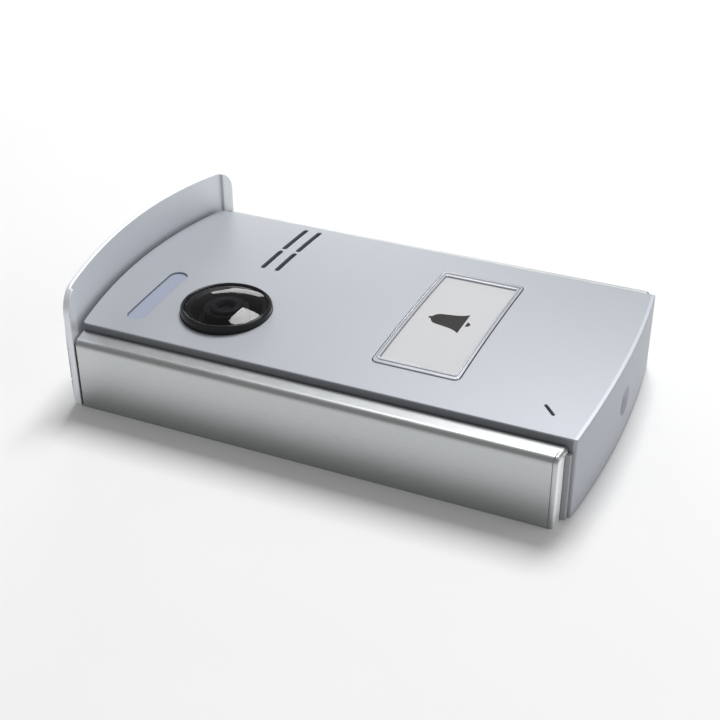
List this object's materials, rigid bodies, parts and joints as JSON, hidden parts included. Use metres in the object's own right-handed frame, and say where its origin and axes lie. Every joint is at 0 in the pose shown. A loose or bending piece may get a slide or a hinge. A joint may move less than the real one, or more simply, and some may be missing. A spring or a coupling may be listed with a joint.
{
  "type": "door intercom panel",
  "caption": "Wall-mounted door intercom panel with a crowned metal front, domed camera, light window, speaker slots, wide call button, side rails and a curved rain hood.",
  "frame": {"origin": "on the wall plane, midway between the side rails and at the middle of the rails' length", "axes": "+Z out of the front, +Y up the wall towards the rain hood, +X to the right as seen from the front"},
  "size_m": [0.1, 0.1641, 0.041],
  "materials": {
    "front_aluminium": "satin anodised, fine grain",
    "rail_aluminium": "satin anodised, fine grain",
    "box_plastic": "moulded, fine texture",
    "chassis_plastic": "moulded, fine texture",
    "rubber": "matte moulded",
    "steel": "zinc plated",
    "black_gloss": "polished",
    "black_matte": "matte",
    "clear_plastic": "clear polished",
    "lens_glass": "coated glass",
    "circuit_board": "solder mask",
    "ribbon_film": "polyimide film",
    "diffuser": "frosted",
    "led_resin": "resin",
    "speaker_cloth": "fine weave",
    "speaker_metal": "pressed steel",
    "speaker_paper": "pressed fibre",
    "wire_red": "wire sleeve",
    "terminal_green": "moulded",
    "relay_case": "moulded",
    "capacitor_sleeve": "shrunk sleeve",
    "label": "smooth card",
    "ink": "printed",
    "brass": "turned"
  },
  "bodies": {
    "wall_box": {"back_box": "box_plastic", "left_rail": "rail_aluminium", "right_rail": "rail_aluminium", "bottom_end_caps": "rail_aluminium", "visor": "rail_aluminium", "visor_gasket": "rubber", "visor_screws": "steel", "rail_screws": "steel", "cable_grommet": "rubber"},
    "front": {"front_cover": "front_aluminium", "camera_bezel": "black_gloss", "bezel_seal": "rubber", "camera_dome": "clear_plastic", "camera_baffle": "black_matte", "camera_barrel": "black_matte", "camera_lens": "lens_glass", "camera_board": "circuit_board", "camera_sensor": "black_matte", "camera_ribbon": "ribbon_film", "led_window": "diffuser", "led_board": "circuit_board", "status_leds": "led_resin", "speaker_gasket": "rubber", "speaker_mesh": "speaker_cloth", "speaker_basket": "speaker_metal", "speaker_magnet": "speaker_metal", "speaker_leads": "wire_red", "mic_boot": "rubber", "mic_capsule": "black_matte", "chassis": "chassis_plastic", "chassis_screws": "steel", "main_board": "circuit_board", "board_screws": "steel", "terminal_block": "terminal_green", "terminal_screws": "steel", "relay": "relay_case", "capacitors": "capacitor_sleeve", "circuit_chips": "black_matte", "board_connectors": "relay_case", "trimmer_base": "relay_case", "tact_switches": "black_matte", "button_leds": "led_resin", "button_springs": "steel", "clamp_bracket": "steel"},
    "call_button": {"button_cap": "clear_plastic", "label_card": "label", "bell_symbol": "ink", "label_backing": "diffuser"},
    "switch_plungers": {"switch_plungers": "brass"},
    "clamp_screw": {"clamp_screw": "steel"},
    "speaker_cone": {"speaker_cone": "speaker_paper"},
    "trimmer_rotor": {"trimmer_rotor": "brass"}
  },
  "joints": [
    {"name": "front_lift", "type": "slide", "parent": "wall_box", "child": "front", "axis": [0, 0, 1], "range_m": [0, 0.03]},
    {"name": "button_press", "type": "slide", "parent": "front", "child": "call_button", "axis": [0, 0, -1], "range_m": [0, 0.0008], "stiffness_N_per_m": 1000, "springref_m": -0.0015, "deforming": ["button_springs"]},
    {"name": "plunger_press", "type": "slide", "parent": "front", "child": "switch_plungers", "axis": [0, 0, -1], "range_m": [0, 0.0008]},
    {"name": "clamp_turn", "type": "hinge", "parent": "front", "child": "clamp_screw", "pos_m": [0, -0.08, 0.0128], "axis": [0, 1, 0], "continuous": true},
    {"name": "cone_travel", "type": "slide", "parent": "front", "child": "speaker_cone", "axis": [0, 0, 1], "range_m": [-0.0003, 0.0003], "stiffness_N_per_m": 1000},
    {"name": "volume_turn", "type": "hinge", "parent": "front", "child": "trimmer_rotor", "pos_m": [-0.024, -0.008, 0.009], "axis": [0, 0, -1], "range_deg": [-135, 135]}
  ],
  "couplings": [
    {"joint": "plunger_press", "follows": "button_press", "ratio": 1}
  ]
}
